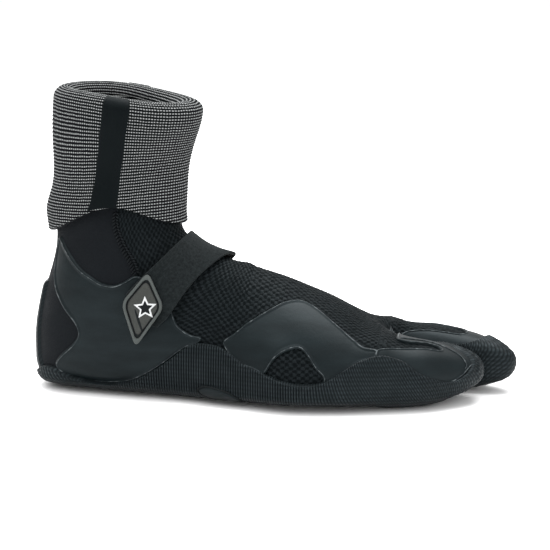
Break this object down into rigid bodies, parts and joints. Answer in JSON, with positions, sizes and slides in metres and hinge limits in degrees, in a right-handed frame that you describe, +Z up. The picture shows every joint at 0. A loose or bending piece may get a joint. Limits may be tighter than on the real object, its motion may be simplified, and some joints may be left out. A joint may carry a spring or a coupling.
{
  "type": "neoprene boot",
  "caption": "Split-toe neoprene surf boot for the right foot: rubber sole and overlays, turned-down striped knit cuff, and an instep strap with a rubber pull badge.",
  "frame": {"origin": "on the ground under the middle of the heel pad, in the flat underside of the outsole", "axes": "+X from the heel to the toes, +Y to the inner side where the big toe is, +Z up"},
  "size_m": [0.2901, 0.1047, 0.1783],
  "materials": {
    "smooth_neoprene": "smooth-skin neoprene with a soft satin face",
    "air_mesh": "matt mesh-faced neoprene",
    "overlay_rubber": "thin smooth satin rubber film",
    "sole_rubber": "moulded rubber with fine vertical ribs on its sides",
    "striped_knit": "knit lining in thin black and light grey rows",
    "seam_tape": "smooth black glued tape",
    "strap_webbing": "brushed loop webbing",
    "badge_rubber": "warm grey moulded rubber",
    "badge_frame_rubber": "lighter grey moulded rubber",
    "emblem_print": null,
    "stitching": "black thread, flat",
    "footbed_foam": "dark fabric-faced foam"
  },
  "bodies": {
    "boot": {"ankle_panel_lateral": "smooth_neoprene", "ankle_panel_medial": "smooth_neoprene", "instep_mesh_panel": "air_mesh", "sock_bottom": "smooth_neoprene", "footbed": "footbed_foam", "small_toes_pocket": "air_mesh", "big_toe_pocket": "air_mesh", "small_toes_overlay": "overlay_rubber", "big_toe_overlay": "overlay_rubber", "small_toes_rand": "sole_rubber", "big_toe_rand": "sole_rubber", "outsole": "sole_rubber", "heel_strip": "sole_rubber", "quarter_overlay_lateral": "overlay_rubber", "quarter_overlay_medial": "overlay_rubber", "forefoot_overlay_lateral": "overlay_rubber", "forefoot_overlay_medial": "overlay_rubber", "arch_pad_lateral": "overlay_rubber", "arch_pad_medial": "overlay_rubber", "seam_stitching_lateral": "stitching", "seam_stitching_medial": "stitching", "strap_anchor": "strap_webbing", "anchor_stitching": "stitching", "loop_patch": "strap_webbing"},
    "cuff": {"cuff_flap": "striped_knit", "cuff_fold": "striped_knit", "cuff_lining": "striped_knit", "seam_tape_lateral": "seam_tape", "seam_tape_medial": "seam_tape"},
    "strap_over_body": {"strap_over": "strap_webbing"},
    "strap_side_body": {"strap_side": "strap_webbing"},
    "strap_tab_body": {"strap_end": "strap_webbing", "hook_pad": "strap_webbing", "badge_frame": "badge_frame_rubber", "badge_plate": "badge_rubber", "badge_bar": "badge_frame_rubber", "badge_emblem": "emblem_print"}
  },
  "joints": [
    {"name": "cuff_roll_up", "type": "slide", "parent": "boot", "child": "cuff", "axis": [0.0872, 0, 0.9962], "range_m": [0, 0.03]},
    {"name": "strap_anchor_bend", "type": "hinge", "parent": "boot", "child": "strap_over_body", "pos_m": [0.0407, 0.03239, 0.05927], "axis": [-0.6044, 0.0252, 0.7963], "range_deg": [0, 60]},
    {"name": "strap_instep_bend", "type": "hinge", "parent": "strap_over_body", "child": "strap_side_body", "pos_m": [0.0721, -0.00286, 0.08927], "axis": [-0.8856, -0.072, 0.4588], "range_deg": [0, 50]},
    {"name": "pull_badge_bend", "type": "hinge", "parent": "strap_side_body", "child": "strap_tab_body", "pos_m": [0.04635, -0.03301, 0.06637], "axis": [-0.6061, 0.0326, 0.7948], "range_deg": [0, 50]}
  ]
}
